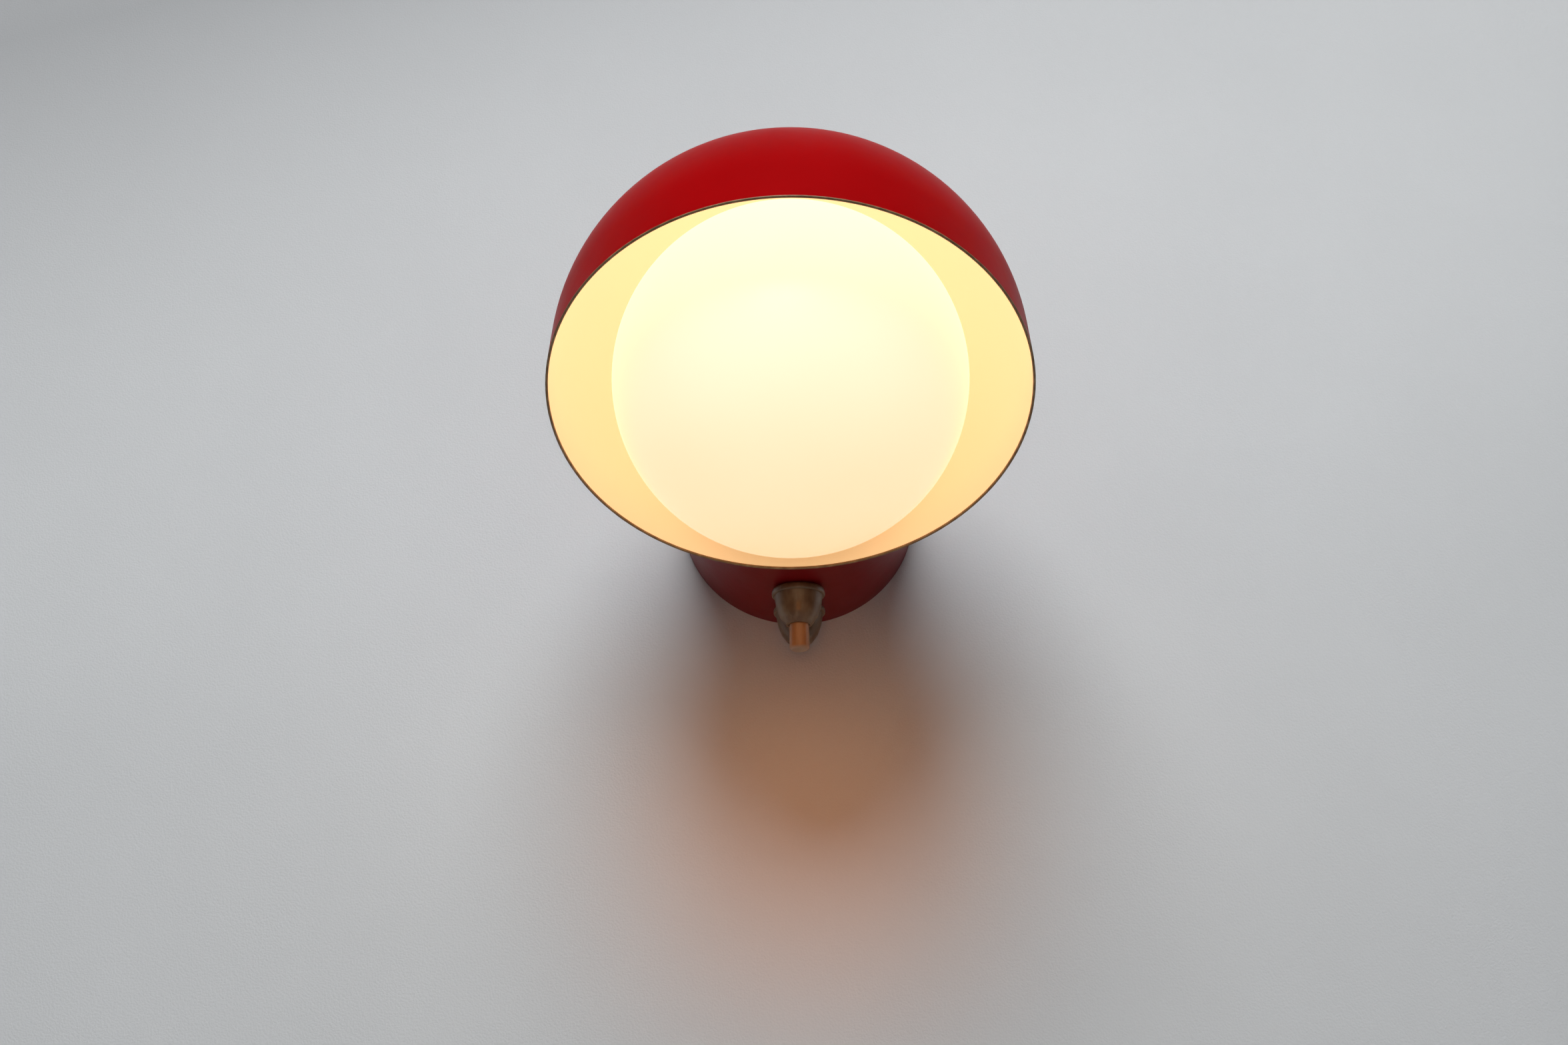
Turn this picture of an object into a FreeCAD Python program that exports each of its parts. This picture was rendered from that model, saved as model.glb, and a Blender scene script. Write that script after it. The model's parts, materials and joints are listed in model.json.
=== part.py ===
"""Wall lamp: a round base on the wall, an opal globe on its axis and a domed
shade that turns and tilts round the globe's centre.

Millimetres.  The origin is the middle of the base's back, on the wall.  The
lamp stands out along -Y, and +Z is up.  "Out" is a distance from the wall,
and "down" is a distance below the base's axis.  The nipple, the globe and the
dome's centre are on an axis a little below the base's own.
"""
import FreeCAD, Part
import math
import os
import Sketcher

Vector = FreeCAD.Vector

SIZES = {
    # centre of the shade's dome, which both of its joints pass through
    "reach": 155.2,
    "axis_drop": 6.5,
    # shade: half a sphere with a short straight skirt
    "shade_radius": 93.0,
    "shade_sheet": 1.0,
    "shade_skirt": 18.6,
    "shade_lean": 21.3,
    "tilt_down": 6.0,
    "tilt_up": 20.0,
    "slot_gap": 0.5,
    # base shell
    "base_radius": 56.2,
    "base_sheet": 1.2,
    "base_depth": 84.0,
    "base_gap": 3.0,
    "bell_hole": 6.3,
    # wall plate and the side screws that hold the shell on it
    "plate_radius": 53.0,
    "plate_sheet": 1.5,
    "ear_radius": 54.9,
    "plate_ear_length": 14.5,
    "plate_ear_width": 18.0,
    "wall_screw_spacing": 70.0,
    "wall_screw_hole": 2.5,
    "cable_hole": 9.0,
    "cable_hole_height": 28.0,
    "side_screw_out": 9.0,
    "side_screw_shank": 1.95,
    "side_screw_hole": 2.1,
    "side_screw_head": 3.5,
    "side_screw_head_height": 2.2,
    "screw_slot_width": 0.8,
    "screw_slot_depth": 1.0,
    # bridge across the shell that carries the hollow nipple
    "bridge_out": 52.9,
    "bridge_sheet": 2.0,
    "bridge_width": 34.0,
    "bridge_ear_length": 12.0,
    "nipple_radius": 5.0,
    "nipple_bore": 3.5,
    "nipple_start": 43.2,
    "nipple_length": 48.0,
    "nut_corner": 8.1,
    "nut_height": 3.2,
    "thread_gap": 0.1,
    "running_gap": 0.05,
    # friction pads on each side of the shade
    "joint_gap": 0.3,
    "outer_pad_radius": 22.0,
    "inner_pad_thickness": 2.0,
    "inner_pad_width": 24.0,
    "inner_pad_below": 14.0,
    "inner_pad_above": 30.0,
    "spring_washer_radius": 14.0,
    "spring_washer_out": 67.0,
    "spring_washer_rise": 3.0,
    "spring_washer_sheet": 0.8,
    "friction_nut_out": 70.9,
    "gallery_nut_out": 76.0,
    # gallery that holds the globe's neck
    "gallery_out": 79.2,
    "gallery_sheet": 1.5,
    "gallery_radius": 43.5,
    "gallery_depth": 11.0,
    "gallery_screw_out": 86.2,
    "gallery_screw_shank": 1.5,
    "gallery_screw_head": 3.0,
    "gallery_screw_head_height": 4.0,
    "gasket_thickness": 1.0,
    # opal globe
    "globe_radius": 70.0,
    "globe_glass": 2.5,
    "globe_set_back": 5.5,
    "neck_radius": 40.0,
    "bead_radius": 41.2,
    "bead_length": 2.5,
    # lampholder and lamp
    "holder_radius": 19.5,
    "holder_cap_out": 80.8,
    "holder_cap_length": 14.4,
    "holder_body_length": 32.0,
    "holder_wall": 4.5,
    "thread_shell_radius": 14.6,
    "thread_shell_sheet": 1.2,
    "thread_shell_length": 22.0,
    "lamp_contact_out": 102.6,
    "lamp_cap_radius": 13.1,
    "lamp_cap_length": 25.6,
    "lamp_length": 105.0,
    "lamp_radius": 30.0,
    "lamp_glass": 1.0,
    # bell mouldings under the base
    "switch_out": 47.15,
    "bush_out": 23.2,
    "bell_top": 56.4,
    "bell_height": 16.6,
    "flange_radius": 11.87,
    "flange_height": 3.2,
    "flange_round": 1.5,
    "flange_under_round": 0.9,
    "bell_top_radius": 10.8,
    "bell_side": 8.6,
    "bell_side_radius": 9.9,
    "bell_side_round": 12.0,
    "bell_curve": 12.9,
    "bell_curve_radius": 8.3,
    "bell_curve_round": 8.0,
    "bell_end_radius": 5.6,
    "bell_end_round": 0.8,
    "neck_thread_radius": 6.0,
    "cord_bore": 3.5,
    "cord_bore_length": 6.0,
    "bush_bore": 4.5,
    "bush_neck_top": 48.7,
    "bush_nut_top": 50.6,
    "bush_nut_corner": 9.2,
    # push switch
    "switch_top": 43.8,
    "switch_radius": 8.0,
    "switch_shoulder": 53.9,
    "switch_neck_end": 63.2,
    "switch_bore": 4.7,
    "stem_radius": 2.2,
    "stem_gap": 0.4,
    "stem_top": 49.4,
    "spring_seat": 51.2,
    "button_radius": 4.43,
    "button_length": 15.4,
    "button_round": 1.6,
    "collar_radius": 6.6,
    "collar_height": 1.6,
    "collar_room": 7.0,
    "bell_end_wall": 3.6,
    "spring_radius": 3.4,
    "spring_wire": 0.4,
    # terminals and wires
    "terminal_width": 30.0,
    "terminal_depth": 12.0,
    "terminal_height": 10.0,
    "terminal_down": 32.0,
    "terminal_pitch": 10.0,
    "terminal_screw_radius": 2.0,
    "terminal_screw_height": 1.2,
    "tab_width": 3.0,
    "tab_depth": 3.0,
    "tab_height": 4.0,
    "tab_offset": 3.5,
    "tab_down": 49.2,
    "earth_screw_side": 24.0,
    "earth_screw_head": 3.0,
    "earth_screw_height": 2.0,
    "wire_radius": 1.1,
}

doc = FreeCAD.newDocument("wall_lamp")


def make_sheet():
    """The spreadsheet: one named cell for each driving size."""
    sheet = doc.addObject("Spreadsheet::Sheet", "Sizes")
    for row, (alias, number) in enumerate(SIZES.items(), start=1):
        sheet.set("A%d" % row, alias)
        sheet.set("B%d" % row, str(number))
        sheet.setAlias("B%d" % row, alias)
    doc.recompute()
    return sheet


class Length:
    """A size together with the formula that binds it to the sheet."""

    def __init__(self, number, formula):
        self.number = number
        self.formula = formula

    @staticmethod
    def of(thing):
        if isinstance(thing, Length):
            return thing
        return Length(float(thing), "(%s)" % thing)

    def __add__(self, other):
        other = Length.of(other)
        return Length(self.number + other.number, "(%s + %s)" % (self.formula, other.formula))

    def __sub__(self, other):
        other = Length.of(other)
        return Length(self.number - other.number, "(%s - %s)" % (self.formula, other.formula))

    def __mul__(self, factor):
        return Length(self.number * factor, "(%s * %s)" % (self.formula, factor))

    def __neg__(self):
        return self * -1

    __radd__ = __add__


class Cells:
    """cells.name is the Length of the sheet's cell called name."""

    def __getattr__(self, alias):
        return Length(SIZES[alias], "Sizes." + alias)


sheet = make_sheet()
cells = Cells()

# height of the axis that the nipple, the globe and the dome's centre share
axis_height = -cells.axis_drop

# turns local +Z to the direction named
DIRECTIONS = {
    "up": FreeCAD.Rotation(),
    "out": FreeCAD.Rotation(Vector(1, 0, 0), 90),
    "down": FreeCAD.Rotation(Vector(1, 0, 0), 180),
    "right": FreeCAD.Rotation(Vector(0, 1, 0), 90),
    "left": FreeCAD.Rotation(Vector(0, 1, 0), -90),
}


def put(thing, toward="up", x=0.0, y=0.0, z=0.0):
    """Point local +Z where it says and bind the place to the sheet."""
    rotation = DIRECTIONS[toward] if isinstance(toward, str) else toward
    x, y, z = Length.of(x), Length.of(y), Length.of(z)
    thing.Placement = FreeCAD.Placement(Vector(x.number, y.number, z.number), rotation)
    for name, length in (("x", x), ("y", y), ("z", z)):
        thing.setExpression("Placement.Base." + name, length.formula)
    return thing


def primitive(kind, name, **sizes):
    """A Part primitive whose properties are bound to the sheet."""
    thing = doc.addObject("Part::" + kind, name)
    for prop, length in sizes.items():
        thing.setExpression(prop, Length.of(length).formula)
    return thing


def rod(name, radius, length, toward, x=0.0, y=0.0, z=0.0):
    return put(primitive("Cylinder", name, Radius=radius, Height=length), toward, x, y, z)


def block(name, width, depth, height, x, y, z):
    """A box by its sizes along X, Y and Z and its lowest corner."""
    return put(primitive("Box", name, Length=width, Width=depth, Height=height), "up", x, y, z)


def ball(name, radius, out):
    """A ball centred on the nipple's axis."""
    return put(primitive("Sphere", name, Radius=radius), "up", y=-Length.of(out), z=axis_height)


def fuse(name, *things):
    made = doc.addObject("Part::MultiFuse", name)
    made.Shapes = list(things)
    return made


def cut(name, base, *tools):
    made = doc.addObject("Part::Cut", name)
    made.Base = base
    made.Tool = tools[0] if len(tools) == 1 else fuse(name + "_cutters", *tools)
    return made


def common(name, base, tool):
    made = doc.addObject("Part::Common", name)
    made.Base = base
    made.Tool = tool
    return made


def group(name, *things):
    """Separate solids that share one node."""
    made = doc.addObject("Part::Compound", name)
    made.Links = list(things)
    return made


def turned(name, outline, toward="out", x=0.0, y=0.0, z=0.0, rounds=()):
    """A body of revolution.

    outline holds corners (radius, distance along the axis).  rounds holds
    (edge radius, edge distance, fillet radius) for the edges made round.
    """
    body = doc.addObject("PartDesign::Body", name)
    sketch = body.newObject("Sketcher::SketchObject", name + "_outline")
    plane = [item for item in body.Origin.OriginFeatures if item.Role == "XZ_Plane"][0]
    sketch.AttachmentSupport = [(plane, "")]
    sketch.MapMode = "FlatFace"
    corners = [(Length.of(radius), Length.of(along)) for radius, along in outline]
    count = len(corners)
    for index in range(count):
        radius, along = corners[index]
        next_radius, next_along = corners[(index + 1) % count]
        sketch.addGeometry(Part.LineSegment(Vector(radius.number, along.number, 0),
                                            Vector(next_radius.number, next_along.number, 0)), False)
    for index in range(count):
        sketch.addConstraint(Sketcher.Constraint("Coincident", index, 2, (index + 1) % count, 1))
    for index, (radius, along) in enumerate(corners):
        for kind, length, axis in (("DistanceX", radius, -2), ("DistanceY", along, -1)):
            if length.number == 0:
                sketch.addConstraint(Sketcher.Constraint("PointOnObject", index, 1, axis))
                continue
            number = sketch.addConstraint(Sketcher.Constraint(kind, -1, 1, index, 1, length.number))
            sketch.setExpression("Constraints[%d]" % number, length.formula)
    doc.recompute()
    revolution = body.newObject("PartDesign::Revolution", name + "_turned")
    revolution.Profile = sketch
    revolution.ReferenceAxis = (sketch, ["V_Axis"])
    revolution.Angle = 360
    doc.recompute()
    last = revolution
    for edge_radius, edge_along, size in rounds:
        last = round_edge(body, last, Length.of(edge_radius), Length.of(edge_along), size)
    return put(body, toward, x, y, z)


def round_edge(body, feature, radius, along, size):
    """Fillet the circular edge of this radius at this height in the body."""
    names = []
    for number, edge in enumerate(feature.Shape.Edges, start=1):
        curve = edge.Curve
        if isinstance(curve, Part.Circle) and abs(curve.Radius - radius.number) < 0.01:
            if abs(curve.Center.z - along.number) < 0.01:
                names.append("Edge%d" % number)
    fillet = body.newObject("PartDesign::Fillet", body.Name + "_round")
    fillet.Base = (feature, names)
    fillet.setExpression("Radius", size.formula)
    doc.recompute()
    return fillet


def nut(name, corner, bore, height, toward, x=0.0, y=0.0, z=0.0):
    """A hexagon nut by its corner radius."""
    prism = primitive("Prism", name + "_blank", Circumradius=corner, Height=height)
    prism.Polygon = 6
    put(prism, toward, x, y, z)
    return cut(name, prism, rod(name + "_bore", bore, height, toward, x, y, z))


def sector(name, width, radius, first, last):
    """A wedge about the X line through the dome's centre.

    Its angles run up from the nipple's axis, seen from the dome's centre.
    """
    wedge = primitive("Cylinder", name, Radius=radius, Height=width, Angle=last - first)
    put(wedge, "up", x=width * -0.5, y=-cells.reach, z=axis_height)
    turn = FreeCAD.Rotation(Vector(1, 0, 0), first.number) * FreeCAD.Rotation(Vector(1, 1, 1), 120)
    wedge.Placement = FreeCAD.Placement(wedge.Placement.Base, turn)
    return wedge


def conductor(name, points, radius, bend):
    """An insulated wire: straight runs joined by arcs."""
    corners = [Vector(*point) for point in points]
    edges = []
    start = corners[0]
    for before, corner, after in zip(corners, corners[1:], corners[2:]):
        inward = (before - corner).normalize()
        outward = (after - corner).normalize()
        half_turn = inward.getAngle(outward) / 2
        back = bend / math.tan(half_turn)
        first = corner + inward * back
        last = corner + outward * back
        middle = corner + (inward + outward).normalize() * (bend / math.sin(half_turn) - bend)
        edges.append(Part.LineSegment(start, first).toShape())
        edges.append(Part.Arc(first, middle, last).toShape())
        start = last
    edges.append(Part.LineSegment(start, corners[-1]).toShape())
    path = Part.Wire(edges)
    section = Part.Wire([Part.Circle(corners[0], corners[1] - corners[0], radius).toShape()])
    made = doc.addObject("Part::Feature", name)
    made.Shape = path.makePipeShell([section], True, False)
    return made


# ---------------------------------------------------------------- base


def make_base_shell():
    """Drawn steel tube, its front cut to follow the dome, bored for bells and screws."""
    tube = turned("base_tube", [
        (cells.base_radius - cells.base_sheet, 0),
        (cells.base_radius, 0),
        (cells.base_radius, cells.base_depth),
        (cells.base_radius - cells.base_sheet, cells.base_depth)])
    holes = [ball("base_front", cells.shade_radius + cells.base_gap, cells.reach),
             rod("switch_hole", cells.bell_hole, cells.base_radius * 1.2, "down", y=-cells.switch_out),
             rod("bush_hole", cells.bell_hole, cells.base_radius * 1.2, "down", y=-cells.bush_out)]
    for side in ("left", "right"):
        holes.append(rod("shell_hole_" + side, cells.side_screw_hole, cells.base_radius * 1.2, side,
                         y=-cells.side_screw_out))
    return cut("base_shell", tube, *holes)


def curved_ears(name, width, start, length, thickness):
    """Two ears of a strap, bent to lie against the inside of the shell."""
    ring = turned(name + "_ring", [
        (cells.ear_radius - thickness, start),
        (cells.ear_radius, start),
        (cells.ear_radius, start + length),
        (cells.ear_radius - thickness, start + length)])
    span = block(name + "_span", cells.ear_radius * 2, start + length, width,
                 -cells.ear_radius, -(start + length), width * -0.5)
    return common(name, ring, span)


def make_wall_plate():
    """Round back plate with two ears, wall-screw holes and a cable hole."""
    disc = rod("plate_disc", cells.plate_radius, cells.plate_sheet, "out")
    wide_disc = rod("plate_wide_disc", cells.ear_radius, cells.plate_sheet, "out")
    strip = block("plate_strip", cells.ear_radius * 2, cells.plate_sheet, cells.plate_ear_width,
                  -cells.ear_radius, -cells.plate_sheet, cells.plate_ear_width * -0.5)
    ears = curved_ears("plate_ears", cells.plate_ear_width, cells.plate_sheet,
                       cells.plate_ear_length, cells.plate_sheet)
    solid = fuse("plate_solid", disc, common("plate_tabs", wide_disc, strip), ears)
    holes = [rod("plate_cable_hole", cells.cable_hole, cells.plate_sheet, "out", z=cells.cable_hole_height)]
    for side, sign in (("left", -0.5), ("right", 0.5)):
        holes.append(rod("wall_hole_" + side, cells.wall_screw_hole, cells.plate_sheet, "out",
                         x=cells.wall_screw_spacing * sign))
        holes.append(rod("ear_hole_" + side, cells.side_screw_shank, cells.base_radius * 1.2, side,
                         y=-cells.side_screw_out))
    return cut("wall_plate", solid, *holes)


def slotted_screw(name, head, head_height, shank, shank_length, toward, x=0.0, y=0.0, z=0.0):
    """Cheese-head screw; its head points the way it says, from the place given."""
    rotation = DIRECTIONS[toward] if isinstance(toward, str) else toward
    axis = rotation.multVec(Vector(0, 0, 1))
    x, y, z = Length.of(x), Length.of(y), Length.of(z)
    top = rod(name + "_head", head, head_height, rotation, x, y, z)
    start = [place - shank_length * part for place, part in zip((x, y, z), axis)]
    thread = rod(name + "_shank", shank, shank_length + 0.2, rotation, *start)
    depth = head_height - cells.screw_slot_depth
    slot = primitive("Box", name + "_slot", Length=cells.screw_slot_width, Width=head * 2 + 1,
                     Height=cells.screw_slot_depth + 1)
    corner = rotation.multVec(Vector(-cells.screw_slot_width.number / 2, -(head.number + 0.5), 0))
    lift = [place + depth * part + offset for place, part, offset in zip((x, y, z), axis, corner)]
    put(slot, rotation, *lift)
    return cut(name, fuse(name + "_solid", top, thread), slot)


def make_base_screws():
    screws = []
    for side, sign in (("left", -1), ("right", 1)):
        screws.append(slotted_screw("side_screw_" + side, cells.side_screw_head, cells.side_screw_head_height,
                                    cells.side_screw_shank, cells.base_sheet + 3, side,
                                    x=cells.base_radius * sign, y=-cells.side_screw_out))
    return group("base_screws", *screws)


def make_swivel_bridge():
    """Strap across the shell, its ears spot-welded to the inside."""
    disc = rod("bridge_disc", cells.ear_radius, cells.bridge_sheet, "out", y=-cells.bridge_out)
    strip = block("bridge_strip", cells.ear_radius * 2, cells.bridge_sheet, cells.bridge_width,
                  -cells.ear_radius, -(cells.bridge_out + cells.bridge_sheet), cells.bridge_width * -0.5)
    ears = curved_ears("bridge_ears", cells.bridge_width, cells.bridge_out - cells.bridge_ear_length,
                       cells.bridge_ear_length, cells.bridge_sheet)
    solid = fuse("bridge_solid", common("bridge_strap", disc, strip), ears)
    hole = rod("bridge_hole", cells.nipple_radius + cells.thread_gap, cells.bridge_sheet, "out",
               y=-cells.bridge_out, z=axis_height)
    earth_hole = rod("bridge_earth_hole", cells.gallery_screw_shank, cells.bridge_sheet, "out",
                     x=cells.earth_screw_side, y=-cells.bridge_out)
    return cut("swivel_bridge", solid, hole, earth_hole)


# ------------------------------------------------- nipple, nuts and pads


def make_nipple():
    end = cells.nipple_start + cells.nipple_length
    return turned("nipple", [
        (cells.nipple_bore, cells.nipple_start),
        (cells.nipple_radius, cells.nipple_start),
        (cells.nipple_radius, end),
        (cells.nipple_bore, end)], z=axis_height)


def make_nipple_nuts():
    bore = cells.nipple_radius + cells.thread_gap
    places = {"bridge_nut": cells.bridge_out - cells.nut_height,
              "friction_nut": cells.friction_nut_out,
              "gallery_nut": cells.gallery_nut_out}
    return [nut(name, cells.nut_corner, bore, cells.nut_height, "out", y=-place, z=axis_height)
            for name, place in places.items()]


def make_outer_pad():
    """Friction pad between the bridge and the outside of the shade."""
    start = cells.bridge_out + cells.bridge_sheet + cells.joint_gap
    puck = rod("outer_pad_puck", cells.outer_pad_radius, cells.outer_pad_radius, "out",
               y=-start, z=axis_height)
    hollow = ball("outer_pad_hollow", cells.shade_radius + cells.joint_gap, cells.reach)
    bore = rod("outer_pad_bore", cells.nipple_radius + cells.running_gap, cells.outer_pad_radius, "out",
               y=-start, z=axis_height)
    return cut("outer_pad", puck, hollow, bore)


def make_inner_pad():
    """Curved strip inside the shade that keeps its slot covered."""
    outside = cells.shade_radius - cells.shade_sheet - cells.joint_gap
    shell = cut("inner_pad_shell", ball("inner_pad_outside", outside, cells.reach),
                ball("inner_pad_inside", outside - cells.inner_pad_thickness, cells.reach))
    wedge = sector("inner_pad_wedge", cells.inner_pad_width, cells.shade_radius * 1.1,
                   -cells.inner_pad_below, cells.inner_pad_above)
    strip = common("inner_pad_strip", shell, wedge)
    bore = rod("inner_pad_bore", cells.nipple_radius + cells.running_gap, cells.outer_pad_radius, "out",
               y=-(cells.reach - cells.shade_radius), z=axis_height)
    return cut("inner_pad", strip, bore)


def make_spring_washer():
    """Dished steel washer that keeps the pads pressed on the shade."""
    low = cells.spring_washer_out
    high = low + cells.spring_washer_rise
    bore = cells.nipple_radius + cells.joint_gap
    return turned("spring_washer", [
        (bore, high),
        (cells.spring_washer_radius, low),
        (cells.spring_washer_radius, low + cells.spring_washer_sheet),
        (bore, high + cells.spring_washer_sheet)], z=axis_height)


# ------------------------------------------------------- shade and globe


def shade_form(name, radius, length):
    """Half a ball with a straight skirt below it, leaning as the shade does."""
    lean = FreeCAD.Rotation(Vector(1, 0, 0), -cells.shade_lean.number)
    centre = Vector(0, -cells.reach.number, axis_height.number)
    half = primitive("Sphere", name + "_dome", Radius=radius)
    half.Angle1 = 0
    half.Angle2 = 90
    half.Placement = FreeCAD.Placement(centre, lean)
    skirt = primitive("Cylinder", name + "_skirt", Radius=radius, Height=length)
    bottom = centre + lean.multVec(Vector(0, 0, -length.number))
    skirt.Placement = FreeCAD.Placement(bottom, lean)
    return fuse(name, half, skirt)


def make_shade():
    """Spun steel dome with a slot that lets it tilt on the nipple."""
    outside = shade_form("shade_outside", cells.shade_radius, cells.shade_skirt)
    inside = shade_form("shade_inside", cells.shade_radius - cells.shade_sheet, cells.shade_skirt + 1)
    half_width = cells.nipple_radius + cells.slot_gap
    middle = sector("slot_middle", half_width * 2, cells.shade_radius * 1.1,
                    -cells.tilt_down, cells.tilt_up)
    ends = []
    for name, angle in (("low", -cells.tilt_down), ("high", cells.tilt_up)):
        turn = FreeCAD.Rotation(Vector(1, 0, 0), angle.number - 90)
        end = primitive("Cylinder", "slot_end_" + name, Radius=half_width, Height=cells.shade_radius * 1.1)
        ends.append(put(end, turn, y=-cells.reach, z=axis_height))
    return cut("shade", outside, inside, middle, *ends)


def make_gallery():
    """Cup that takes the globe's neck."""
    inner = cells.gallery_radius - cells.gallery_sheet
    floor = cells.gallery_out + cells.gallery_sheet
    edge = cells.gallery_out + cells.gallery_depth
    bore = cells.nipple_radius + cells.thread_gap
    cup = turned("gallery_cup", [
        (bore, cells.gallery_out),
        (cells.gallery_radius, cells.gallery_out),
        (cells.gallery_radius, edge),
        (inner, edge),
        (inner, floor),
        (bore, floor)], z=axis_height)
    holes = []
    for index in range(3):
        holes.append(rod("gallery_hole_%d" % index, cells.gallery_screw_shank + cells.thread_gap,
                         cells.gallery_radius * 1.1, gallery_direction(index),
                         y=-cells.gallery_screw_out, z=axis_height))
    return cut("gallery", cup, *holes)


def gallery_direction(index):
    """The way the gallery screws' heads point: three, evenly spaced."""
    around = FreeCAD.Rotation(Vector(0, 1, 0), 120 * index)
    return around * DIRECTIONS["up"]


def make_gallery_screws():
    screws = []
    for index in range(3):
        direction = gallery_direction(index)
        axis = direction.multVec(Vector(0, 0, 1))
        radius = cells.gallery_radius + cells.thread_gap
        screws.append(slotted_screw("gallery_screw_%d" % index, cells.gallery_screw_head,
                                    cells.gallery_screw_head_height, cells.gallery_screw_shank,
                                    cells.gallery_radius - cells.neck_radius - cells.thread_gap,
                                    direction, x=radius * axis.x, y=-cells.gallery_screw_out,
                                    z=radius * axis.z + axis_height))
    return group("gallery_screws", *screws)


def make_globe_gasket():
    start = cells.gallery_out + cells.gallery_sheet
    end = start + cells.gasket_thickness
    inner = cells.neck_radius - cells.globe_glass
    return turned("globe_gasket", [
        (inner, start), (cells.bead_radius, start), (cells.bead_radius, end), (inner, end)],
        z=axis_height)


def make_globe():
    """Opal glass ball with a short straight neck and a bead at its end."""
    centre = cells.reach - cells.globe_set_back
    neck_end = cells.gallery_out + cells.gallery_sheet + cells.gasket_thickness
    inner_neck = cells.neck_radius - cells.globe_glass
    outside = fuse("globe_outside", ball("globe_ball", cells.globe_radius, centre),
                   rod("globe_neck", cells.neck_radius, centre - neck_end, "out",
                       y=-neck_end, z=axis_height),
                   rod("globe_bead", cells.bead_radius, cells.bead_length, "out",
                       y=-neck_end, z=axis_height))
    inside = fuse("globe_inside", ball("globe_room", cells.globe_radius - cells.globe_glass, centre),
                  rod("globe_mouth", inner_neck, cells.globe_radius, "out",
                      y=-(centre - cells.globe_radius - 1), z=axis_height))
    return cut("globe", outside, inside)


# ------------------------------------------------- lampholder and lamp


def make_lampholder():
    """Cap, porcelain body, thread shell and centre contact."""
    start = cells.holder_cap_out
    joint = start + cells.holder_cap_length
    end = joint + cells.holder_body_length
    outer = cells.holder_radius
    bore = cells.nipple_radius + cells.thread_gap
    sheet_metal = cells.gallery_sheet
    shoulder = start + cells.holder_cap_length * 0.45
    cap = turned("lampholder_cap", [
        (bore, start),
        (outer * 0.6, start),
        (outer, shoulder),
        (outer, joint),
        (outer - sheet_metal, joint),
        (outer - sheet_metal, shoulder + 0.6),
        (outer * 0.6 - 0.6, start + sheet_metal),
        (bore, start + sheet_metal)], z=axis_height)
    floor = joint + cells.holder_wall - 0.5
    room = outer - cells.holder_wall
    body = turned("lampholder_body", [
        (cells.stem_radius, joint),
        (outer, joint),
        (outer, end),
        (room, end),
        (room, floor),
        (cells.stem_radius, floor)], z=axis_height, rounds=[(outer, end, cells.flange_round)])
    shell_outer = cells.thread_shell_radius
    shell_inner = shell_outer - cells.thread_shell_sheet
    shell = turned("lampholder_shell", [
        (shell_inner, floor),
        (shell_outer, floor),
        (shell_outer, floor + cells.thread_shell_length),
        (shell_inner, floor + cells.thread_shell_length)], z=axis_height)
    tip = cells.lamp_contact_out
    contact = turned("centre_contact", [
        (0, floor),
        (cells.tab_height, floor),
        (cells.tab_height, floor + 1),
        (cells.stem_radius, tip),
        (0, tip)], z=axis_height)
    return [cap, body, shell, contact]


def make_lamp():
    """Screw-base lamp: metal cap and pear-shaped glass."""
    tip = cells.lamp_contact_out
    cap_end = tip + cells.lamp_cap_length
    radius = cells.lamp_cap_radius
    cap = turned("bulb_cap", [
        (0, tip),
        (cells.tab_height, tip),
        (radius - 0.6, tip + 4),
        (radius, tip + 5),
        (radius, cap_end),
        (0, cap_end)], z=axis_height)
    centre = tip + cells.lamp_length - cells.lamp_radius
    taper = (centre - cap_end) * 0.62

    def pear(name, shrink, start):
        cone = primitive("Cone", name + "_neck", Radius1=radius - shrink,
                         Radius2=cells.lamp_radius * 0.78 - shrink, Height=taper)
        put(cone, "out", y=-start, z=axis_height)
        return fuse(name, ball(name + "_ball", cells.lamp_radius - shrink, centre), cone)

    glass = cut("bulb_glass", pear("pear_outside", Length.of(0), cap_end),
                pear("pear_inside", cells.lamp_glass, cap_end + cells.lamp_glass))
    return [cap, glass]


# ------------------------------------------------- bells and push switch


def bell_outline():
    """Outside corners of a bell, from its flange's top to its end."""
    top = cells.bell_top
    end = top + cells.bell_height
    return [(cells.flange_radius, top),
            (cells.flange_radius, top + cells.flange_height),
            (cells.bell_top_radius, top + cells.flange_height),
            (cells.bell_side_radius, top + cells.bell_side),
            (cells.bell_curve_radius, top + cells.bell_curve),
            (cells.bell_end_radius, end)]


def bell_rounds():
    top = cells.bell_top
    return [(cells.flange_radius, top, cells.flange_round),
            (cells.flange_radius, top + cells.flange_height, cells.flange_under_round),
            (cells.bell_side_radius, top + cells.bell_side, cells.bell_side_round),
            (cells.bell_curve_radius, top + cells.bell_curve, cells.bell_curve_round),
            (cells.bell_end_radius, top + cells.bell_height, cells.bell_end_round)]


def make_switch_bell():
    top = cells.bell_top
    end = top + cells.bell_height
    room_end = end - cells.bell_end_wall
    neck_end = cells.switch_neck_end + cells.thread_gap
    thread = cells.neck_thread_radius + cells.thread_gap
    guide = cells.button_radius + cells.joint_gap
    return turned("switch_bell", [(thread, top)] + bell_outline() + [
        (guide, end),
        (guide, room_end),
        (cells.collar_room, room_end),
        (cells.collar_room, neck_end),
        (thread, neck_end)], "down", y=-cells.switch_out, rounds=bell_rounds())


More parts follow.
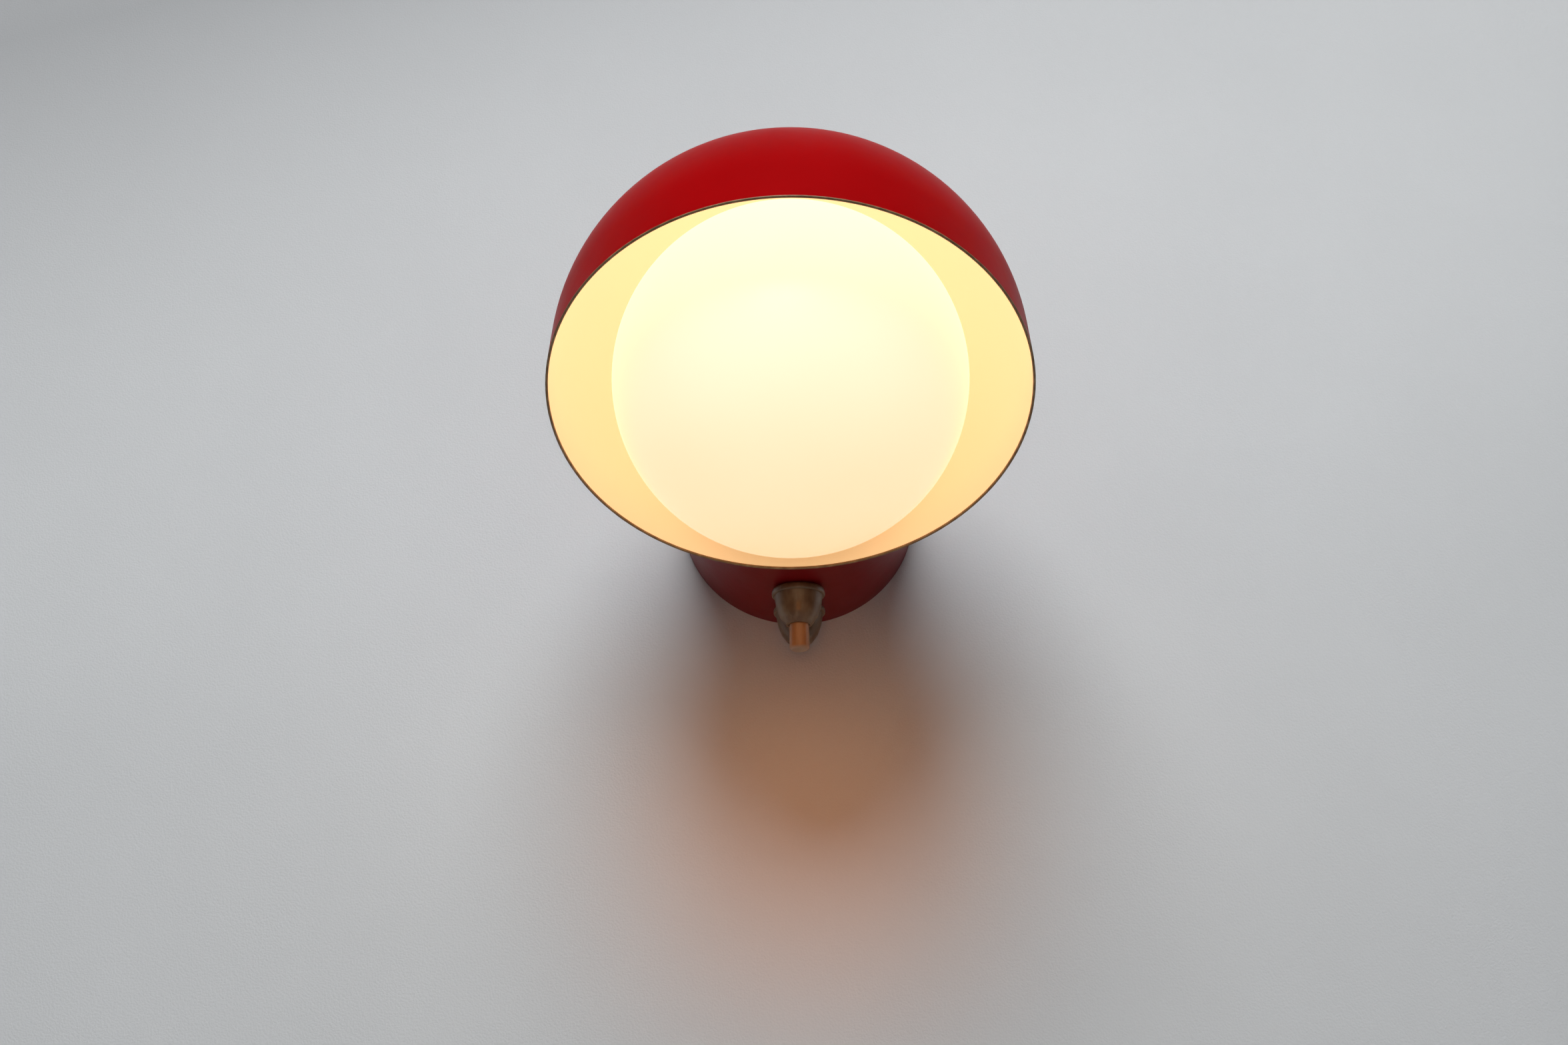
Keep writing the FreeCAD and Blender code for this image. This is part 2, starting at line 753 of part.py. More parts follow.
def make_cord_bush():
    """The same bell with a threaded neck of its own and a cord bore."""
    top = cells.bell_top
    end = top + cells.bell_height
    throat = end - cells.cord_bore_length
    return turned("cord_bush", [
        (cells.bush_bore, cells.bush_neck_top),
        (cells.neck_thread_radius, cells.bush_neck_top),
        (cells.neck_thread_radius, top)] + bell_outline() + [
        (cells.cord_bore, end),
        (cells.cord_bore, throat),
        (cells.bush_bore, throat)], "down", y=-cells.bush_out, rounds=bell_rounds())


def make_cord_bush_nut():
    return nut("cord_bush_nut", cells.bush_nut_corner, cells.neck_thread_radius + cells.thread_gap,
               cells.nut_height, "down", y=-cells.bush_out, z=-cells.bush_nut_top)


def make_switch_body():
    stem_room = cells.stem_radius + cells.stem_gap
    roof = cells.switch_top + 1.9
    return turned("switch_body", [
        (0, cells.switch_top),
        (cells.switch_radius, cells.switch_top),
        (cells.switch_radius, cells.switch_shoulder),
        (cells.neck_thread_radius, cells.switch_shoulder),
        (cells.neck_thread_radius, cells.switch_neck_end),
        (cells.switch_bore, cells.switch_neck_end),
        (cells.switch_bore, cells.spring_seat),
        (stem_room, cells.spring_seat),
        (stem_room, roof),
        (0, roof)], "down", y=-cells.switch_out)


def collar_place():
    """Top and underside of the button's collar, below the axis."""
    under = cells.bell_top + cells.bell_height - cells.bell_end_wall - cells.joint_gap
    return under - cells.collar_height, under


def make_push_button():
    top, under = collar_place()
    end = under + cells.button_length
    return turned("push_button", [
        (0, cells.stem_top),
        (cells.stem_radius, cells.stem_top),
        (cells.stem_radius, top),
        (cells.collar_radius, top),
        (cells.collar_radius, under),
        (cells.button_radius, under),
        (cells.button_radius, end),
        (0, end)], "down", y=-cells.switch_out,
        rounds=[(cells.button_radius, end, cells.button_round)])


def make_button_spring():
    """Coil spring between the switch body and the collar, as a sleeve of its size."""
    top, _ = collar_place()
    start = cells.spring_seat + cells.thread_gap
    end = top - cells.thread_gap
    inner = cells.spring_radius - cells.spring_wire
    outer = cells.spring_radius + cells.spring_wire
    return turned("button_spring", [
        (inner, start), (outer, start), (outer, end), (inner, end)], "down", y=-cells.switch_out)


def make_switch_tabs():
    """Two brass terminals on the wall side of the switch."""
    tabs = []
    for name, sign in (("left", -1), ("right", 1)):
        tabs.append(block("switch_tab_" + name, cells.tab_width, cells.tab_depth, cells.tab_height,
                          cells.tab_offset * sign - cells.tab_width * 0.5,
                          -(cells.switch_out - cells.switch_radius + 0.8), -cells.tab_down))
    return group("switch_tabs", *tabs)


# ------------------------------------------------- terminals and wires


def make_terminal_block():
    return block("terminal_block", cells.terminal_width, cells.terminal_depth, cells.terminal_height,
                 cells.terminal_width * -0.5, -(cells.plate_sheet + cells.terminal_depth),
                 -cells.terminal_down)


def make_terminal_screws():
    front = cells.plate_sheet + cells.terminal_depth
    screws = []
    for name, sign in (("left", -1), ("middle", 0), ("right", 1)):
        screws.append(rod("terminal_screw_" + name, cells.terminal_screw_radius, cells.terminal_screw_height,
                          "out", x=cells.terminal_pitch * sign, y=-front,
                          z=cells.terminal_height * 0.5 - cells.terminal_down))
    return group("terminal_screws", *screws)


def make_earth_screw():
    return slotted_screw("earth_screw", cells.earth_screw_head, cells.earth_screw_height,
                         cells.gallery_screw_shank, cells.bridge_sheet + 2,
                         FreeCAD.Rotation(Vector(1, 0, 0), -90),
                         x=cells.earth_screw_side, y=-cells.bridge_out)


def make_wires():
    """Four short wires inside the base, two of them up the nipple."""
    radius = SIZES["wire_radius"]
    top = SIZES["terminal_height"] - SIZES["terminal_down"]
    pitch = SIZES["terminal_pitch"]
    middle = -(SIZES["plate_sheet"] + SIZES["terminal_depth"] / 2)
    tab_back = -(SIZES["switch_out"] - SIZES["switch_radius"] + 0.8) + SIZES["tab_depth"]
    tab_middle = SIZES["tab_height"] / 2 - SIZES["tab_down"]
    offset = SIZES["tab_offset"]
    beside = radius + 0.15
    holder = -(SIZES["holder_cap_out"] + SIZES["holder_cap_length"] - 2)
    behind = -(SIZES["nipple_start"] - 7)
    bridge = -SIZES["bridge_out"] + SIZES["earth_screw_height"]
    side = SIZES["earth_screw_side"]
    axis = -SIZES["axis_drop"]
    bend = 4.0
    live = conductor("live_wire", [
        (-offset, tab_back, tab_middle), (-offset, -24, tab_middle), (-pitch, -20, top + 9),
        (-pitch, middle, top + 9), (-pitch, middle, top)], radius, bend * 0.8)
    switched = conductor("switched_wire", [
        (offset, tab_back, tab_middle), (offset, -25, tab_middle), (beside, behind, -20),
        (beside, behind, axis), (beside, holder, axis)], radius, bend)
    neutral = conductor("neutral_wire", [
        (0, middle, top), (0, middle, axis - 10), (-beside, behind, axis - 6), (-beside, behind, axis),
        (-beside, holder, axis)], radius, bend * 0.6)
    earth = conductor("earth_wire", [
        (pitch, middle, top), (pitch, middle, -8), (side, -20, -8), (side, bridge - 0.2, -3.6)],
        radius, bend * 0.8)
    return [live, switched, neutral, earth]


def check_and_write(parts):
    doc.recompute()
    for thing in doc.Objects:
        if "Invalid" in thing.State or "Error" in thing.State:
            raise RuntimeError("%s failed: %s" % (thing.Name, thing.State))
    for part in parts:
        shape = part.Shape
        if shape.isNull() or not shape.isValid() or not shape.Solids:
            raise RuntimeError("%s has no sound shape" % part.Name)
    os.makedirs("parts", exist_ok=True)
    for part in parts:
        part.Label = part.Name
        part.Shape.exportStep("parts/%s.step" % part.Name)
        print("%-18s %d solid(s) %10.1f mm3" % (part.Name, len(part.Shape.Solids), part.Shape.Volume))


check_and_write(
    [make_base_shell(), make_wall_plate(), make_base_screws(), make_swivel_bridge(), make_nipple()]
    + make_nipple_nuts()
    + [make_outer_pad(), make_inner_pad(), make_spring_washer()]
    + [make_shade(), make_gallery(), make_gallery_screws(), make_globe_gasket(), make_globe()]
    + make_lampholder()
    + make_lamp()
    + [make_switch_bell(), make_cord_bush(), make_cord_bush_nut(), make_switch_body()]
    + [make_push_button(), make_button_spring(), make_switch_tabs()]
    + [make_terminal_block(), make_terminal_screws(), make_earth_screw()]
    + make_wires())
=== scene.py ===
"""The looks of the wall lamp: enamelled dome, lit opal globe, round base and bell mouldings.

Metres, in the lamp's own frame: the wall is the plane y = 0 and the lamp
stands out along -Y.
"""
import json
import math

import bmesh
import bpy
from mathutils import Matrix, Vector


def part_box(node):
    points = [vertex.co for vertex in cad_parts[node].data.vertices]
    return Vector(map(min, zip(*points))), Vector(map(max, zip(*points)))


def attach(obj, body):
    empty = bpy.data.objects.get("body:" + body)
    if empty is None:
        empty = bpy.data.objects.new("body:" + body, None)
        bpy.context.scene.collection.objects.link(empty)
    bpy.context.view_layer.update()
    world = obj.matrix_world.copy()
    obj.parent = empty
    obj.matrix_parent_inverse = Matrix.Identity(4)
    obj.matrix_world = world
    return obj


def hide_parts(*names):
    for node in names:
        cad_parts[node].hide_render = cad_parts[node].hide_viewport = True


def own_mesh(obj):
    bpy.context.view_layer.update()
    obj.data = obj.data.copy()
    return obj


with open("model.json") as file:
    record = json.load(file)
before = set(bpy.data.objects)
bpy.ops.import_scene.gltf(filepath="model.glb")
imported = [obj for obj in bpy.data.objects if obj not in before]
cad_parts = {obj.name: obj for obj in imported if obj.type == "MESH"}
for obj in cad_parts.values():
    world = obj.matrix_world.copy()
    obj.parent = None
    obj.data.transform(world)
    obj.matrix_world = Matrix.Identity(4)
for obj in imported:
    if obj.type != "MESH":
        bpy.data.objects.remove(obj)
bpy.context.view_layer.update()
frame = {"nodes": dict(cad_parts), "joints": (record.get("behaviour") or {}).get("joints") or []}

MM = 0.001
NODES = frame["nodes"]
JOINTS = {joint["name"]: joint for joint in frame["joints"]}

# ------------------------------------------------------------ driving sizes

DOME_CENTRE = Vector(JOINTS["shade_tilt"]["pos_m"])
SHADE_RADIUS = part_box("shade")[1].x
SHADE_SHEET = 1.0 * MM
SHADE_SKIRT = 18.6 * MM
SHADE_LEAN = math.radians(21.3)
TILT_DOWN, TILT_UP = JOINTS["shade_tilt"]["range_deg"]
NIPPLE_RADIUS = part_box("nipple")[1].x
SLOT_GAP = 0.5 * MM
GLOBE_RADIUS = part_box("globe")[1].x
GLOBE_GLASS = 2.5 * MM
NECK_BEAD = 1.2 * MM
GLOBE_CENTRE = Vector((0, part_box("globe")[0].y + GLOBE_RADIUS, DOME_CENTRE.z))
NECK_END = -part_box("globe")[1].y
BASE_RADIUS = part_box("base_shell")[1].x
SWITCH_OUT = -(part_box("switch_bell")[0].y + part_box("switch_bell")[1].y) / 2
BUSH_OUT = -(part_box("cord_bush")[0].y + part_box("cord_bush")[1].y) / 2
BUTTON_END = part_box("push_button")[0].z
BUSH_NECK_RADIUS = 6.0 * MM
FINE_PITCH = 1.0 * MM
FINE_RIDGE = 0.3 * MM
LAMP_PITCH = 3.6 * MM
LAMP_TURNS = 4.0
LAMP_RIDGE = 1.1 * MM
SPRING_WIRE = 0.4 * MM
SPRING_TURNS = 9.0
KNURLED_HEAD = 4.0 * MM
SMOOTH = 35.0

OUT = Vector((0, -1, 0))
DOWN = Vector((0, 0, -1))
DOME_AXIS = Matrix.Rotation(-SHADE_LEAN, 3, "X") @ Vector((0, 0, 1))

# the camera's place, in its own directions from the dome's centre
LENS = 33.35
PITCH, YAW, ROLL = math.radians(23.06), math.radians(1.26), math.radians(1.03)
CAMERA_BACK, CAMERA_BELOW, CAMERA_LEFT = 0.5673, 0.0581, 0.0024

BACKDROP = (0.52, 0.53, 0.54, 1)
DAYLIGHT = (0.95, 0.98, 1.0)

# material numbers of the shade's outline
OUTSIDE, RIM, INSIDE = range(3)


def feed(tree, socket, value):
    """Link an output to a socket, or set the socket to a fixed value."""
    if isinstance(value, bpy.types.NodeSocket):
        tree.links.new(value, socket)
    else:
        socket.default_value = value


def added(name, data):
    """A new object in the scene."""
    made = bpy.data.objects.new(name, data)
    bpy.context.scene.collection.objects.link(made)
    return made


# ------------------------------------------------------------ shader helpers


class Finish:
    """A material under construction, with its shader and short ways to add nodes."""

    def __init__(self, name):
        self.material = bpy.data.materials.new(name)
        self.material.use_nodes = True
        self.tree = self.material.node_tree
        self.shader = self.tree.nodes["Principled BSDF"]
        self.place = self.node("ShaderNodeTexCoord").outputs["Object"]

    def node(self, kind, **settings):
        made = self.tree.nodes.new(kind)
        for key, value in settings.items():
            setattr(made, key, value)
        return made

    def link(self, output, socket):
        self.tree.links.new(output, socket)

    def set(self, **sockets):
        for name, value in sockets.items():
            self.shader.inputs[name.replace("_", " ")].default_value = value

    def along(self, axis):
        """The place along one axis of the object."""
        split = self.node("ShaderNodeSeparateXYZ")
        self.link(self.place, split.inputs[0])
        return split.outputs[axis]

    def noise(self, scale, detail=3.0, stretch=(1, 1, 1)):
        """Noise of that many cells a metre, longer where stretch is small."""
        mapping = self.node("ShaderNodeMapping")
        mapping.inputs["Scale"].default_value = stretch
        self.link(self.place, mapping.inputs["Vector"])
        made = self.node("ShaderNodeTexNoise")
        made.inputs["Scale"].default_value = scale
        made.inputs["Detail"].default_value = detail
        self.link(mapping.outputs["Vector"], made.inputs["Vector"])
        return made.outputs["Fac"]

    def ramp(self, factor, stops):
        """A colour ramp from (position, colour) stops."""
        made = self.node("ShaderNodeValToRGB")
        line = made.color_ramp
        while len(line.elements) < len(stops):
            line.elements.new(0.5)
        for element, (position, colour) in zip(line.elements, stops):
            element.position = position
            element.color = (*colour, 1)
        self.link(factor, made.inputs["Fac"])
        return made.outputs["Color"]

    def mix(self, factor, first, second):
        """Blend two colours; each is an output or a fixed colour."""
        made = self.node("ShaderNodeMix", data_type="RGBA")
        feed(self.tree, made.inputs[0], factor)
        for socket, value in ((made.inputs[6], first), (made.inputs[7], second)):
            feed(self.tree, socket, (*value, 1) if isinstance(value, tuple) else value)
        return made.outputs[2]

    def spread(self, factor, low, high, start=0.0, end=1.0, blend="LINEAR"):
        """A value that goes from low to high while the factor goes from start to end."""
        made = self.node("ShaderNodeMapRange", interpolation_type=blend)
        made.inputs["From Min"].default_value = start
        made.inputs["From Max"].default_value = end
        made.inputs["To Min"].default_value = low
        made.inputs["To Max"].default_value = high
        self.link(factor, made.inputs["Value"])
        return made.outputs["Result"]

    def maths(self, operation, first, second):
        made = self.node("ShaderNodeMath", operation=operation)
        for socket, value in zip(made.inputs, (first, second)):
            feed(self.tree, socket, value)
        return made.outputs[0]

    def colour(self, output):
        self.link(output, self.shader.inputs["Base Color"])

    def rough(self, output):
        self.link(output, self.shader.inputs["Roughness"])

    def bump(self, *layers):
        """Bumps from layers of (height output, depth in metres); gives back the material."""
        last = None
        for height, depth in layers:
            made = self.node("ShaderNodeBump")
            made.inputs["Distance"].default_value = depth
            self.link(height, made.inputs["Height"])
            if last is not None:
                self.link(last, made.inputs["Normal"])
            last = made.outputs["Normal"]
        self.link(last, self.shader.inputs["Normal"])
        return self.material

    def surface(self, output):
        """Show a shader output in place of the plain shader."""
        self.link(output, self.tree.nodes["Material Output"].inputs["Surface"])

    def mix_shaders(self, factor, first, second):
        made = self.node("ShaderNodeMixShader")
        for socket, output in zip(made.inputs, (factor, first, second)):
            self.link(output, socket)
        return made.outputs[0]


def shades(colour, darker, lighter):
    """Three stops round a colour."""
    return [(0.25, tuple(part * darker for part in colour)), (0.5, colour),
            (0.75, tuple(min(1.0, part * lighter) for part in colour))]


# ------------------------------------------------------------ materials


def red_enamel(name, colour, level):
    """Deep red satin stoving enamel, faintly pebbled, with a few dull specks."""
    made = Finish(name)
    base = made.ramp(made.noise(26.0), shades(colour, 0.93, 1.07))
    cells = made.node("ShaderNodeTexVoronoi")
    cells.inputs["Scale"].default_value = 210.0
    made.link(made.place, cells.inputs["Vector"])
    picked = made.spread(made.noise(90.0, 1.0), 0.0, 0.07, start=0.6, end=0.85)
    speck = made.maths("LESS_THAN", cells.outputs["Distance"], picked)
    made.colour(made.mix(speck, base, (0.22, 0.010, 0.012)))
    made.rough(made.spread(made.noise(60.0), 0.30, 0.42))
    made.set(Specular_IOR_Level=level, Specular_Tint=(1.0, 0.06, 0.08, 1))
    return made.bump((made.noise(1400.0, 2.0), 0.02 * MM), (made.noise(240.0, 1.0), 0.03 * MM))


def white_enamel_painted_glow():
    """Warm white enamel on the inside of the shade, with a painted warm glow for the lamp's light
    bounced round inside it.
    """
    made = Finish("white_enamel_painted_glow")
    made.colour(made.ramp(made.noise(20.0), shades((0.86, 0.70, 0.57), 0.98, 1.02)))
    made.rough(made.spread(made.noise(70.0), 0.42, 0.55))
    # painted glow: this emission stands in for the lamp's light bounced round inside the shade;
    # the inner pad gets it too
    made.set(Emission_Color=(1.0, 0.64, 0.28, 1), Emission_Strength=0.4)
    return made.bump((made.noise(1300.0, 2.0), 0.02 * MM))


def bare_edge():
    """Brown edge of the spun sheet where the enamel has rubbed thin."""
    made = Finish("bare_edge")
    made.colour(made.ramp(made.noise(300.0, 4.0), [
        (0.3, (0.20, 0.108, 0.044)),
        (0.55, (0.31, 0.178, 0.075)),
        (0.8, (0.44, 0.28, 0.14))]))
    made.rough(made.spread(made.noise(500.0), 0.35, 0.6))
    return made.bump((made.noise(2500.0), 0.03 * MM))


def opal_glass():
    """Opal glass lit from inside: brightest in front of the lamp, warmer away from it."""
    made = Finish("opal_glass")
    made.set(Base_Color=(0.26, 0.25, 0.23, 1), Roughness=0.36, Specular_IOR_Level=0.20)
    low, high = (GLOBE_CENTRE + Vector((1, 1, 1)) * side * GLOBE_RADIUS for side in (-1, 1))
    front = made.spread(made.along("Y"), 0.60, 0.0, start=low.y, end=high.y)
    height = made.spread(made.along("Z"), 0.0, 0.30, start=low.z, end=high.z)
    cloud = made.spread(made.noise(16.0, 2.0), 0.0, 0.08)
    level = made.maths("ADD", made.maths("ADD", front, height), cloud)
    dim, bright = 0.30, 0.90
    glow = made.ramp(level, [
        (dim, (1.0, 0.65, 0.35)), (0.60, (1.0, 0.71, 0.45)), (bright, (1.0, 0.75, 0.55))])
    strength = made.spread(level, 1.05, 1.3, start=dim, end=bright)
    made.link(glow, made.shader.inputs["Emission Color"])
    made.link(strength, made.shader.inputs["Emission Strength"])
    return made.bump((made.noise(120.0, 1.0), 0.03 * MM))


def bell_moulding():
    """Dark brown-ivory moulding, darkened partly for age and partly as painted shade, with faint
    pale flow streaks down its length.
    """
    made = Finish("bell_moulding")
    # the dark body colours are partly yellowed age and partly painted shade for the shadow under
    # the dome
    body = made.ramp(made.noise(110.0, 3.0), [
        (0.3, (0.125, 0.067, 0.031)),
        (0.5, (0.180, 0.107, 0.054)),
        (0.75, (0.25, 0.172, 0.098))])
    lines = made.noise(420.0, 2.0, stretch=(1, 1, 0.04))
    streak = made.spread(lines, 0.0, 0.35, start=0.50, end=0.78)
    made.colour(made.mix(streak, body, (0.34, 0.27, 0.19)))
    made.rough(made.spread(made.noise(300.0), 0.24, 0.38))
    made.set(Subsurface_Weight=0.10, Subsurface_Scale=1.0,
             Subsurface_Radius=(0.004, 0.0025, 0.0015))
    return made.bump((made.noise(900.0, 2.0), 0.02 * MM))


def button_moulding():
    """Push button moulding, painted salmon-brown for the lamp's warm light through its cream
    plastic, paler at its end.
    """
    made = Finish("button_moulding")
    grain = made.noise(260.0, 3.0, stretch=(1, 1, 0.3))
    body = made.ramp(grain, shades((0.41, 0.185, 0.072), 0.82, 1.18))
    # the salmon-brown body is painted warm light; the last 1.6 mm towards the end blend to a
    # paler tone
    pale_end = made.spread(made.along("Z"), 0.75, 0.0, start=BUTTON_END, end=BUTTON_END + 1.6 * MM)
    made.colour(made.mix(pale_end, body, (0.40, 0.30, 0.22)))
    made.rough(made.spread(made.noise(300.0), 0.28, 0.42))
    made.set(Subsurface_Weight=0.15, Subsurface_Scale=1.0,
             Subsurface_Radius=(0.003, 0.0015, 0.0008))
    return made.bump((made.noise(900.0, 2.0), 0.02 * MM))


def metal(name, colour, low, high, stretch=(1, 1, 1)):
    """Plated or bare metal with fine drawing lines and dull patches; low to high is roughness."""
    made = Finish(name)
    made.colour(made.ramp(made.noise(80.0, 4.0), shades(colour, 0.86, 1.08)))
    made.rough(made.spread(made.noise(150.0), low, high))
    made.set(Metallic=1.0)
    return made.bump((made.noise(700.0, 2.0, stretch), 0.02 * MM))


def plastic(name, colour, low=0.35, high=0.5, scale=600.0):
    """Plain moulded plastic, rubber or glaze; low to high is roughness."""
    made = Finish(name)
    made.colour(made.ramp(made.noise(150.0, 4.0), shades(colour, 0.85, 1.12)))
    made.rough(made.spread(made.noise(220.0), low, high))
    return made.bump((made.noise(scale, 2.0), 0.03 * MM))


def earth_insulation():
    """Green insulation with a yellow stripe that winds round it."""
    made = Finish("earth_insulation")
    bands = made.node("ShaderNodeTexWave", wave_type="BANDS", bands_direction="DIAGONAL")
    bands.inputs["Scale"].default_value = 60.0
    made.link(made.place, bands.inputs["Vector"])
    stripe = made.maths("GREATER_THAN", bands.outputs["Fac"], 0.62)
    made.colour(made.mix(stripe, (0.05, 0.26, 0.05), (0.72, 0.58, 0.05)))
    made.rough(made.spread(made.noise(400.0), 0.35, 0.5))
    return made.bump((made.noise(900.0), 0.02 * MM))


def lamp_glass():
    """Frosted glass of the lamp, lit."""
    made = Finish("lamp_glass")
    made.colour(made.ramp(made.noise(40.0), shades((0.85, 0.80, 0.70), 0.97, 1.03)))
    made.rough(made.spread(made.noise(300.0), 0.35, 0.5))
    made.set(Emission_Color=(1.0, 0.80, 0.48, 1), Emission_Strength=2.0)
    return made.material


RED = red_enamel("red_enamel", (0.380, 0.002, 0.003), level=0.012)
# the base takes a darker copy of the dome's red enamel: painted shade for the shadow the dome
# casts on it
SHADED_BASE_RED = red_enamel("base_enamel_painted_shade", (0.215, 0.005, 0.007), level=0.14)
WHITE = white_enamel_painted_glow()
EDGE = bare_edge()
OPAL = opal_glass()
IVORY = bell_moulding()
BUTTON = button_moulding()
ZINC = metal("zinc_plate", (0.52, 0.53, 0.54), 0.32, 0.5, (0.15, 1, 1))
NICKEL = metal("nickel_plate", (0.66, 0.64, 0.60), 0.18, 0.34)
BRASS = metal("plain_brass", (0.62, 0.44, 0.17), 0.26, 0.44, (1, 0.2, 1))
GALLERY = metal("lacquered_brass", (0.66, 0.50, 0.25), 0.22, 0.36, (1, 0.1, 1))
SPRING = metal("spring_wire", (0.48, 0.48, 0.50), 0.2, 0.36)
LAMP_METAL = metal("lamp_cap_metal", (0.70, 0.70, 0.70), 0.2, 0.38)
PORCELAIN = plastic("glazed_porcelain", (0.80, 0.79, 0.74), 0.12, 0.22, 200.0)
PHENOLIC = plastic("dark_phenolic", (0.045, 0.032, 0.026), 0.3, 0.5)
RUBBER = plastic("gasket_rubber", (0.05, 0.05, 0.05), 0.6, 0.8)
BLOCK = plastic("terminal_moulding", (0.70, 0.69, 0.64))
BROWN = plastic("brown_insulation", (0.16, 0.065, 0.03))
BLUE = plastic("blue_insulation", (0.04, 0.10, 0.36))
EARTH = earth_insulation()
LAMP = lamp_glass()

# ------------------------------------------------------------ mesh helpers


def rounded(corners, steps):
    """An outline from corners (radius, height, rounding, material number)."""
    points = []
    count = len(corners)
    for index, (radius, height, rounding, kind) in enumerate(corners):
        here = Vector((radius, height))
        if rounding <= 0:
            points.append((here, kind))
            continue
        before = Vector(corners[index - 1][:2]) - here
        after = Vector(corners[(index + 1) % count][:2]) - here
        before.normalize()
        after.normalize()
        half = before.angle(after) / 2
        centre = here + (before + after).normalized() * (rounding / math.sin(half))
        start = here + before * (rounding / math.tan(half)) - centre
        end = here + after * (rounding / math.tan(half)) - centre
        turn = start.angle_signed(end)
        for step in range(steps + 1):
            points.append((centre + Matrix.Rotation(-turn * step / steps, 2) @ start, kind))
    return points


def arc(centre_height, radius, first, last, kind, steps):
    """Points of a round stretch; angles are degrees up from the plane across the axis."""
    points = []
    for step in range(steps + 1):
        angle = math.radians(first + (last - first) * step / steps)
        across = max(0.0, radius * math.cos(angle))
        points.append((Vector((across, centre_height + radius * math.sin(angle))), kind))
    return points


def lathe(name, outline, origin, axis, materials, around, smooth=SMOOTH):
    """Turn a closed outline of ((radius, height), material number) about an axis."""
    axis = Vector(axis).normalized()
    across = axis.orthogonal().normalized()
    side = axis.cross(across)
    mesh = bmesh.new()
    rings = []
    for point, _ in outline:
        foot = Vector(origin) + axis * point.y
        if point.x < 1e-7:
            rings.append([mesh.verts.new(foot)])
            continue
        ring = []
        for step in range(around):
            angle = math.tau * step / around
            way = across * math.cos(angle) + side * math.sin(angle)
            ring.append(mesh.verts.new(foot + way * point.x))
        rings.append(ring)
    for index, (first, second) in enumerate(zip(rings, rings[1:] + rings[:1])):
        if len(first) == 1 and len(second) == 1:
            continue
        for step in range(around):
            following = (step + 1) % around
            corners = [first[step % len(first)], second[step % len(second)],
                       second[following % len(second)], first[following % len(first)]]
            face = mesh.faces.new(list(dict.fromkeys(corners)))
            face.material_index = outline[index][1]
    bmesh.ops.recalc_face_normals(mesh, faces=mesh.faces)
    return finished(name, mesh, materials, smooth)


def smoothed(data, angle):
    """Shade a mesh smooth, apart from edges sharper than the angle in degrees."""
    data.shade_smooth()
    data.set_sharp_from_angle(angle=math.radians(angle))


def finished(name, mesh, materials, smooth=SMOOTH):
    """Turn a bmesh into an object with its materials and smooth shading."""
    data = bpy.data.meshes.new(name)
    mesh.to_mesh(data)
    mesh.free()
    for material in materials:
        data.materials.append(material)
    smoothed(data, smooth)
    return added(name, data)


def settle(made):
    """Bake the modifiers of a piece into a plain mesh and take them off."""
    bpy.context.view_layer.update()
    evaluated = made.evaluated_get(bpy.context.evaluated_depsgraph_get())
    data = bpy.data.meshes.new_from_object(evaluated)
    made.modifiers.clear()
    made.data = data


def stand_for(made, body, slot, *nodes):
    """Ride on a body and stand for CAD nodes, which it hides; the slot is not used."""
    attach(made, body)
    if nodes:
        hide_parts(*nodes)


# ------------------------------------------------------------ repeated details


class Growth:
    """A Geometry Nodes tree for a detail that repeats; sizes are its named inputs."""

    def __init__(self, name, **sizes):
        self.group = bpy.data.node_groups.new(name, "GeometryNodeTree")
        self.sockets = {}
        for label, value in sizes.items():
            kind = "NodeSocketInt" if isinstance(value, int) else "NodeSocketFloat"
            socket = self.group.interface.new_socket(
                name=label, in_out="INPUT", socket_type=kind)
            socket.default_value = value
            self.sockets[label] = socket.identifier
        self.group.interface.new_socket(
            name="Geometry", in_out="OUTPUT", socket_type="NodeSocketGeometry")
        self.entry = self.node("NodeGroupInput")

    def node(self, kind, inputs=None, **settings):
        made = self.group.nodes.new(kind)
        for key, value in settings.items():
            setattr(made, key, value)
        for key, value in (inputs or {}).items():
            feed(self.group, made.inputs[key], value)
        return made

    def size(self, label):
        return self.entry.outputs[label]

    def maths(self, operation, first, second):
        return self.node("ShaderNodeMath", {0: first, 1: second}, operation=operation).outputs[0]

    def end(self, geometry, material):
        """Close the tree: real geometry, in its material."""
        real = self.node("GeometryNodeRealizeInstances", {"Geometry": geometry})
        dressed = self.node("GeometryNodeSetMaterial", {
            "Geometry": real.outputs[0], "Material": material})
        self.node("NodeGroupOutput", {"Geometry": dressed.outputs[0]})
        return self

    def grow(self, name, place, smooth, **sizes):
        """One plain mesh from the tree at these sizes, moved to its place."""
        made = added(name, bpy.data.meshes.new(name))
        modifier = made.modifiers.new("growth", "NODES")
        modifier.node_group = self.group
        for label, value in sizes.items():
            modifier[self.sockets[label]] = value
        settle(made)
        made.data.transform(place)
        smoothed(made.data, smooth)
        return made


def helix_tree(name, material, sides):
    """A round wire or thread ridge wound into a helix along Z from the origin."""
    tree = Growth(name, Radius=0.005, Wire=0.0003, Turns=10.0, Length=0.01, Steps=24)
    spiral = tree.node("GeometryNodeCurveSpiral", {
        "Resolution": tree.size("Steps"), "Rotations": tree.size("Turns"),
        "Start Radius": tree.size("Radius"), "End Radius": tree.size("Radius"),
        "Height": tree.size("Length")})
    section = tree.node("GeometryNodeCurvePrimitiveCircle", {
        "Resolution": sides, "Radius": tree.size("Wire")})
    swept = tree.node("GeometryNodeCurveToMesh", {
        "Curve": spiral.outputs[0], "Profile Curve": section.outputs[0], "Fill Caps": True})
    return tree.end(swept.outputs[0], material)


